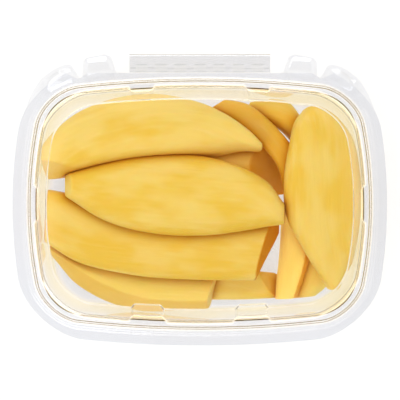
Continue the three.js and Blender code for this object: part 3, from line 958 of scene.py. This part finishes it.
def flesh_material(name, seed, depth, green, slice_shade, cut_face_shade, flank_tone, contact_shade_share, painted_glow):
    """Moist mango flesh. depth moves its colour from pale to deep and green adds an unripe tinge;
    slice_shade, cut_face_shade and flank_tone paint shade in a deep orange over all of it, its
    knife-cut faces and its right-hand side; contact_shade_share is how much painted shade darkens it
    near other slices; painted_glow is painted light, an emission glow over all of it."""
    material, tree, surface = new_material(name, {
        "IOR": 1.38,
        "Specular IOR Level": 0.12,
        "Subsurface Weight": 0.35,
        "Subsurface Radius": (1.0, 0.42, 0.08),
        "Subsurface Scale": 0.004,
        "Emission Strength": 1.0,
    })
    grain = joined(tree, "ShaderNodeAttribute", attribute_name="grain")
    cut, touch, flank = marks(tree, "cut", "contact", "flank")
    streaks = joined(
        tree, "ShaderNodeGroup", {"Seed": seed}, {"Grain": grain.outputs["Vector"]}, node_tree=FIBRE,
    )
    coarse, fine, patches = (streaks.outputs[streak] for streak in STREAKS)
    patch = mapped(
        tree, patches, {"From Min": 0.36 + depth, "From Max": 0.62 + depth},
        interpolation_type="SMOOTHSTEP",
    )
    tinge = mapped(tree, patches, {"From Min": 0.35, "From Max": 0.75, "To Max": green})
    share = mapped(tree, coarse, {"From Min": 0.5, "From Max": 0.78, "To Max": 0.3})
    paler = maths(tree, "MULTIPLY_ADD", cut, 0.0 if cut_face_shade else 0.25, share)
    crevice_shading = maths(tree, "POWER", touch, CREVICE_FALL)
    inner = maths(tree, "MULTIPLY_ADD", cut, cut_face_shade, slice_shade)
    inner = maths(tree, "MULTIPLY_ADD", flank, flank_tone, inner)
    colour = mixed(tree, DEEP, PALE, patch)
    colour = mixed(tree, colour, GREENISH, tinge)
    colour = mixed(tree, colour, FIBRE_PALE, paler)
    # painted shade: darker where the slice comes near another
    colour = mixed(tree, colour, CONTACT_SHADE, maths(tree, "MULTIPLY", touch, contact_shade_share))
    # painted shade: toward the shaded deep orange all over, on cut faces and on the right-hand flank
    colour = mixed(tree, colour, SHADED_FLESH, inner)
    # painted shade in crevices, where slices nearly touch
    colour = mixed(tree, colour, CREVICE_SHADE, crevice_shading)
    tree.links.new(colour, surface.inputs["Base Color"])
    # painted glow: emission of the flesh's own colour, stronger in crevices
    strength = maths(tree, "MULTIPLY_ADD", crevice_shading, CREVICE_PAINTED_GLOW, painted_glow)
    painted_glow_colour = joined(
        tree, "ShaderNodeVectorMath", links={0: colour, "Scale": strength}, operation="SCALE",
    )
    tree.links.new(painted_glow_colour.outputs["Vector"], surface.inputs["Emission Color"])
    moist = mapped(tree, fine, {"To Min": 0.34, "To Max": 0.52})
    tree.links.new(moist, surface.inputs["Roughness"])
    bumped(tree, surface, maths(tree, "MULTIPLY_ADD", fine, 0.5, coarse), 0.35, 0.0004)
    return material


# Each slice's depth, green, slice_shade, cut_face_shade, flank_tone, contact_shade_share and painted_glow;
# the last five are painted shade and painted light.
TONES = {
    "slice_low_middle": (0.05, 0.0, 0.14, 0.56, 0.0, 0.3, 0.08),
    "slice_low_front": (-0.05, 0.4, 0.0, 0.1, 0.0, 0.2, 0.06),
    "slice_low_back_right": (0.10, 0.6, 0.18, 0.0, 0.0, 0.9, 0.0),
    "slice_low_right_front": (-0.1, 0.4, 0.0, 0.0, 0.0, 0.2, 0.09),
    "slice_front_left": (-0.15, 0.7, 0.0, 0.0, 0.3, 0.1, 0.05),
    "slice_right_narrow": (-0.3, 0.45, 0.0, 0.0, 0.8, 0.05, 0.22),
    "slice_back_curved": (0.10, 0.2, 0.42, 0.0, 0.0, 0.9, 0.0),
    "slice_front_wide": (0.03, 0.1, 0.03, 0.97, 0.0, 0.6, 0.0),
    "slice_middle": (0.02, 0.08, 0.0, 0.0, 0.0, 0.7, 0.0),
    "slice_back_long": (-0.08, 0.0, 0.0, 0.15, 0.0, 0.7, 0.0),
    "slice_right_wide": (0.0, 0.16, 0.0, 0.0, 0.0, 0.5, 0.0),
}


def slices():
    """All slices. Each is pressed in by a slightly larger copy of every slice below it."""
    below = []
    pieces = []
    for seed, (name, form) in enumerate(SLICES.items(), 1):
        piece = cut_slice("mango_" + name, form, 0.0)
        if below:
            take_away(piece, below)
        largest_piece(piece.data)
        fine = piece.modifiers.new("fine", "REMESH")
        fine.mode = "VOXEL"
        fine.voxel_size = GRAIN_STEP * MM
        soft = piece.modifiers.new("soft", "SMOOTH")
        soft.factor = 0.5
        soft.iterations = 5
        settle(piece, ALL_SMOOTH)
        worked_surface(piece, form, seed)
        piece.data.materials.clear()
        piece.data.materials.append(flesh_material("flesh of " + name, float(seed), *TONES[name]))
        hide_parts(name)
        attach(piece, BODY)
        pieces.append(piece)
        below.append(cut_slice("press", form, PLAY))
    mark_contact(pieces)
    for tool in below:
        bpy.data.objects.remove(tool)
    return pieces


FRUIT = slices()
mark_juice(TRAY.data)

# ---- Lid ----
# The upper half: a drawn sheet with a flat panel, a sloping side with stiffening lugs pressed into
# it, a ledge, and a seal wall that presses over the tray's bead. Its flange lies on the tray's and
# has two lifting tabs at the back.

PACK_HEIGHT = 46.0
LID_FLANGE = 27.0
LEDGE = 33.0
KNEE_HEIGHT = 38.0
FOOT = (81.0, 58.3, 19.0)
KNEE = (79.6, 56.7, 18.0)
PANEL = (75.2, 51.8, 16.0)
LIFT_TAB = [
    (66.4, HINGE_EDGE), (62.0, 62.4), (59.2, 61.3), (57.5, 62.6), (57.3, 71.4), (46.2, 73.5),
    (43.4, 72.1), (40.9, 64.6), (37.4, HINGE_EDGE),
]
LIFT_TAB_ROUND = [2.0, 1.0, 1.0, 0.8, 3.6, 3.0, 2.0, 1.6, 0.6]
LIFT_PANEL = [(55.7, 62.8), (55.7, 71.0), (45.2, 72.0), (42.4, 64.6)]
LIFT_PANEL_ROUND = [0.8, 2.2, 2.2, 0.8]
LIFT_PANEL_INSIDE = [(55.1, 63.4), (55.1, 70.3), (45.7, 71.3), (43.1, 65.1)]
LIFT_PANEL_INSIDE_ROUND = [0.6, 1.8, 1.8, 0.6]
LIFT_PANEL_RISE = 0.25
# How deep the lugs at the front, the sides and the hinge are at each line of the dome.
LUGS_AT_PANEL = (1.8, 0.0, 0.0)
LUGS_AT_KNEE = (1.5, 0.6, 0.9)
LUGS_AT_FOOT = (2.4, 1.5, 2.0)
LUG_SPREAD = (0.95, 1.02, 1.15)  # how wide they are there
# painted highlight on the seal wall's bends
SEAL_GLEAM = 0.24
# Each crease round the flange: how far it is outside the seal line, its half width and its rise.
FLANGE_CREASES = ((1.9, 0.33, 0.12), (3.1, 0.4, 0.16))
CREASE_MARGIN = 0.1  # of flat sheet beside each crease
CREASE_END = 52.0  # the creases end here, towards the hinge
CREASE_FADE = 6.0


def lid():
    # the last number of these stations is the painted highlight of their bends
    panel_edge = station(PANEL, 0.3, PACK_HEIGHT, LUGS_AT_PANEL, LUG_SPREAD[0], 0.12)
    knee = station(KNEE, 0.0, KNEE_HEIGHT, LUGS_AT_KNEE, LUG_SPREAD[1], 0.05)
    foot = station(FOOT, 0.0, LEDGE, LUGS_AT_FOOT, LUG_SPREAD[2], 0.6)
    section = rounded(
        [
            station(PANEL, 9.0, PACK_HEIGHT), panel_edge,
            *between(panel_edge, knee, 3),
            knee, *between(knee, foot, 3), foot,
            station(FOOT, -0.5, LEDGE, LUGS_AT_FOOT, LUG_SPREAD[2], 0.45),
            station(FOOT, -1.0, LEDGE, LUGS_AT_FOOT, LUG_SPREAD[2]),
            station(SEAL, 0.9, LEDGE), station(SEAL, 0.0, LEDGE, gleam=SEAL_GLEAM),
            station(SEAL, -SEAL_DRAFT, LID_FLANGE, gleam=SEAL_GLEAM),
            station(SEAL, -SEAL_DRAFT - 0.5, LID_FLANGE),
        ],
        [1.3, 0.0, 0.0, 3.0, 0.0, 0.0, 0.4, 0.0, 0.0, 0.0, 0.9, 0.4],
    )
    creases = []
    for middle_line, half, rise in FLANGE_CREASES:
        edge = half + CREASE_MARGIN
        for offset, lift in ((-edge, 0.0), (-half, 0.0), (0.0, rise), (half, 0.0), (edge, 0.0)):
            line = ring(*station(SEAL, -(middle_line + offset), 0.0)[:-1])[:, :2]
            line = np.roll(line, -(len(line) // 4), axis=0)
            line = line[line[:, 1] < CREASE_END]
            fade = np.clip((CREASE_END - line[:, 1]) / CREASE_FADE, 0.0, 1.0)
            creases.append((line, lift * fade, 0.0))
    panel = filleted(LIFT_PANEL, LIFT_PANEL_ROUND)
    inside = filleted(LIFT_PANEL_INSIDE, LIFT_PANEL_INSIDE_ROUND)
    for side in ((1, 1), (-1, 1)):
        for line, lift in ((panel, 0.0), (inside, LIFT_PANEL_RISE)):
            creases.append((np.vstack([line, line[:1]]) * side, lift, 1.0))
    outline = flange_outline(LIFT_TAB, LIFT_TAB_ROUND)
    piece = drawn_sheet("clear_lid", section, outline, creases)
    piece.data.materials.append(clear_sheet_material("clear lid sheet", FLAT_TINT, TAB_TINT))
    mark_juice(piece.data)
    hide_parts("lid")
    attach(piece, BODY)


lid()

# ---- Tear strip ----
# The perforated web between lid and tray at the back: one ribbon of the same sheet, folded double,
# with a row of cut windows along which it tears off when the pack is first opened.

STRIP_HALF = 34.5
STRIP_NEAR = 64.5
STRIP_FAR = 73.4
STRIP_TOP = 27.0
STRIP_BOTTOM = 25.5
STRIP_SHEET = 0.35
WINDOW_COUNT = 7
WINDOW_PITCH = 9.45
WINDOW_LENGTH = 5.8
WINDOW_NEAR = 0.5
WINDOW_FAR = 3.7
STRIP_TINT = (0.95, 0.95, 0.96)
# painted shade: the colour of the strip's dark lines
STRIP_SHADE = (0.74, 0.74, 0.74)
STRIP_MESH = 0.45
# The painted shade lines, from the strip's near edge: the windows' two edges and the crease, each
# with its place, half width and dullness.
FAR_LINE = (3.8, 0.3, 0.4)
NEAR_LINE = (0.4, 0.45, 0.35)
CREASE_LINE = (2.1, 0.3, 0.35)
CREASE_WANDER = 0.2
CREASE_WAVE = 5.5
LEAF_DULL = 0.4  # painted shade on the lower leaf where it shows through a window
WINDOW_FADE = 0.4
WINDOW_ROUND = 0.5
FOLD_RADIUS = (STRIP_TOP - STRIP_BOTTOM) / 2
LEAF = STRIP_FAR - FOLD_RADIUS - STRIP_NEAR  # each leaf's depth up to the fold
FOLD_END = LEAF + math.pi * FOLD_RADIUS


def strip_place(x, travel):
    """The place of a point of the flat ribbon once it is folded: travel runs from the flange over
    the top, round the fold and back underneath."""
    fold = STRIP_NEAR + LEAF
    if travel <= LEAF:
        return x, STRIP_NEAR + travel, STRIP_TOP
    if travel < FOLD_END:
        angle = (travel - LEAF) / FOLD_RADIUS
        rise = FOLD_RADIUS * math.cos(angle)
        return x, fold + FOLD_RADIUS * math.sin(angle), STRIP_TOP - FOLD_RADIUS + rise
    return x, fold - (travel - FOLD_END), STRIP_BOTTOM


def shade_strip_lines(mesh):
    """For the material: painted shade lines along the windows' edges and along the strip's crease, and
    painted shade on the lower leaf under each window.
    """
    x, y, z = (vertex_array(mesh) / MM).T
    depth = y - STRIP_NEAR
    wandered = depth - CREASE_WANDER * np.sin(x / CREASE_WAVE)
    far, near, crease = (
        dullness * np.exp(-((at - place) / half) ** 2)
        for at, (place, half, dullness) in (
            (depth, FAR_LINE), (depth, NEAR_LINE), (wandered, CREASE_LINE),
        )
    )
    off_centre = np.abs((x / WINDOW_PITCH + 0.5) % 1 - 0.5) * WINDOW_PITCH
    in_window = np.clip(((WINDOW_LENGTH + WINDOW_FADE) / 2 - off_centre) / WINDOW_FADE, 0, 1)
    row = (depth > WINDOW_NEAR) & (depth < WINDOW_FAR)
    lower_leaf = z < (STRIP_TOP + STRIP_BOTTOM) / 2
    # painted shade: dark lines at the windows' edges and the crease, and the lower leaf under each window
    dull = in_window * (far + near + LEAF_DULL * row * lower_leaf) + crease
    marked(mesh, dull=dull, gleam=0.0 * dull, wall=0.0 * dull, juice=0.0 * dull)


def tear_strip():
    fold = np.linspace(LEAF, FOLD_END, 7)
    under = FOLD_END + LEAF
    points = [(-STRIP_HALF, 0.0), (STRIP_HALF, 0.0), (STRIP_HALF, under), (-STRIP_HALF, under)]
    border = list(range(len(points)))
    edges = []
    for x in np.arange(-STRIP_HALF + STRIP_MESH, STRIP_HALF, 1.5 * STRIP_MESH):
        points += [(x, travel) for travel in np.arange(STRIP_MESH / 2, under, STRIP_MESH)]
    for travel in fold:
        points += [(-STRIP_HALF, travel), (STRIP_HALF, travel)]
        edges.append((len(points) - 2, len(points) - 1))
    windows = []
    for k in range(WINDOW_COUNT):
        left = (k - (WINDOW_COUNT - 1) / 2) * WINDOW_PITCH - WINDOW_LENGTH / 2
        right = left + WINDOW_LENGTH
        corners = [(left, WINDOW_NEAR), (right, WINDOW_NEAR), (right, WINDOW_FAR), (left, WINDOW_FAR)]
        loop = filleted(corners, [WINDOW_ROUND] * 4, 4)
        start = len(points)
        points += [tuple(p) for p in loop]
        edges += [(start + i, start + (i + 1) % len(loop)) for i in range(len(loop))]
        windows.append((left, right))
    spots, _, triangles, _, _, _ = delaunay_2d_cdt([Vector(p) for p in points], edges, [border], 1, 1e-5)
    faces = []
    for face in triangles:
        x = sum(spots[v].x for v in face) / 3
        y = sum(spots[v].y for v in face) / 3
        cut_out = WINDOW_NEAR < y < WINDOW_FAR and any(low < x < high for low, high in windows)
        if not cut_out:
            faces.append(face)
    places = [tuple(c * MM for c in strip_place(p.x, p.y)) for p in spots]
    piece = mesh_object("perforated_strip", places, faces)
    thicken(piece, STRIP_SHEET)
    settle(piece, SHARPEST_BEND)
    shade_strip_lines(piece.data)
    piece.data.materials.append(clear_sheet_material("strip sheet", STRIP_TINT, STRIP_SHADE))
    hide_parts("tear_strip")
    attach(piece, BODY)


tear_strip()
